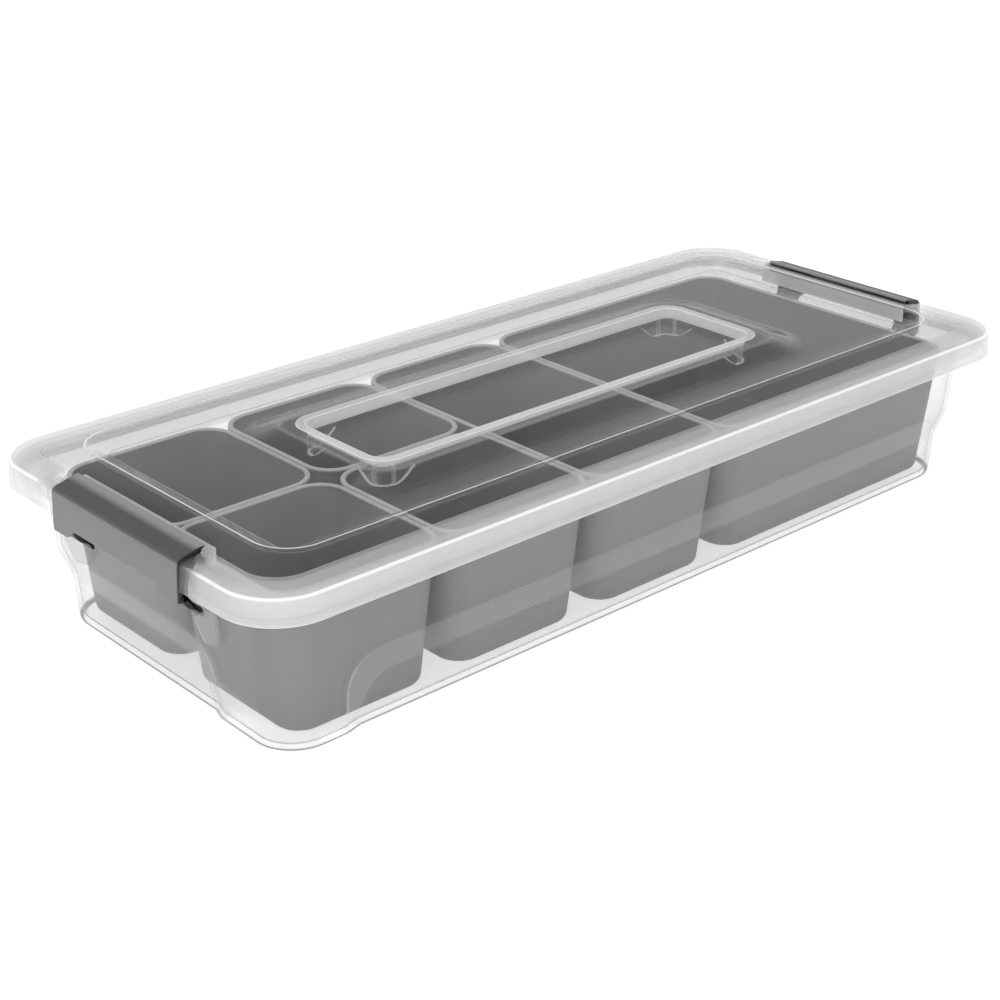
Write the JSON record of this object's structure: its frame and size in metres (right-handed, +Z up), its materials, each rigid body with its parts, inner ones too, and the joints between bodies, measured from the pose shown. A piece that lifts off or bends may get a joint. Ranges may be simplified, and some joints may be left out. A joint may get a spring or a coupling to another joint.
{
  "type": "parts organizer",
  "caption": "Long shallow clear storage box with a latching clear lid and removable open cups that lift out to sort small parts.",
  "frame": {"origin": "middle of the box's underside, on the surface it stands on", "axes": "+X along the length towards the end with the long cup, +Y across the width, +Z up"},
  "size_m": [0.4784, 0.2114, 0.0852],
  "materials": {
    "clear_tub": "clear moulded plastic, glossy",
    "clear_lid": "clear moulded plastic, glossy, milky at its shoulder",
    "cup_grey": "fine matte texture",
    "cover_grey": "smooth matte",
    "hook_black": "smooth satin"
  },
  "bodies": {
    "tub": {"tub": "clear_tub"},
    "lid": {"lid": "clear_lid"},
    "latch_left": {"latch_cover_left": "cover_grey", "latch_hook_left": "hook_black"},
    "latch_right": {"latch_cover_right": "cover_grey", "latch_hook_right": "hook_black"},
    "cup_near_end": {"cup_near_end": "cup_grey"},
    "cup_far_end": {"cup_far_end": "cup_grey"},
    "cup_near_mid": {"cup_near_mid": "cup_grey"},
    "cup_far_mid": {"cup_far_mid": "cup_grey"},
    "cup_wide": {"cup_wide": "cup_grey"},
    "cup_long": {"cup_long": "cup_grey"}
  },
  "joints": [
    {"name": "lid_lift", "type": "slide", "parent": "tub", "child": "lid", "axis": [0, 0, 1], "range_m": [0, 0.18]},
    {"name": "latch_left_swing", "type": "hinge", "parent": "lid", "child": "latch_left", "pos_m": [-0.2284, 0, 0.079], "axis": [0, 1, 0], "range_deg": [0, 100]},
    {"name": "latch_right_swing", "type": "hinge", "parent": "lid", "child": "latch_right", "pos_m": [0.2284, 0, 0.079], "axis": [0, -1, 0], "range_deg": [0, 100]},
    {"name": "cup_near_end_lift", "type": "slide", "parent": "tub", "child": "cup_near_end", "axis": [0, 0, 1], "range_m": [0, 0.09]},
    {"name": "cup_far_end_lift", "type": "slide", "parent": "tub", "child": "cup_far_end", "axis": [0, 0, 1], "range_m": [0, 0.09]},
    {"name": "cup_near_mid_lift", "type": "slide", "parent": "tub", "child": "cup_near_mid", "axis": [0, 0, 1], "range_m": [0, 0.09]},
    {"name": "cup_far_mid_lift", "type": "slide", "parent": "tub", "child": "cup_far_mid", "axis": [0, 0, 1], "range_m": [0, 0.09]},
    {"name": "cup_wide_lift", "type": "slide", "parent": "tub", "child": "cup_wide", "axis": [0, 0, 1], "range_m": [0, 0.09]},
    {"name": "cup_long_lift", "type": "slide", "parent": "tub", "child": "cup_long", "axis": [0, 0, 1], "range_m": [0, 0.09]}
  ],
  "couplings": [
    {"joint": "cup_near_end_lift", "follows": "lid_lift", "ratio": 0.5},
    {"joint": "cup_far_end_lift", "follows": "lid_lift", "ratio": 0.5},
    {"joint": "cup_near_mid_lift", "follows": "lid_lift", "ratio": 0.5},
    {"joint": "cup_far_mid_lift", "follows": "lid_lift", "ratio": 0.5},
    {"joint": "cup_wide_lift", "follows": "lid_lift", "ratio": 0.5},
    {"joint": "cup_long_lift", "follows": "lid_lift", "ratio": 0.5}
  ]
}
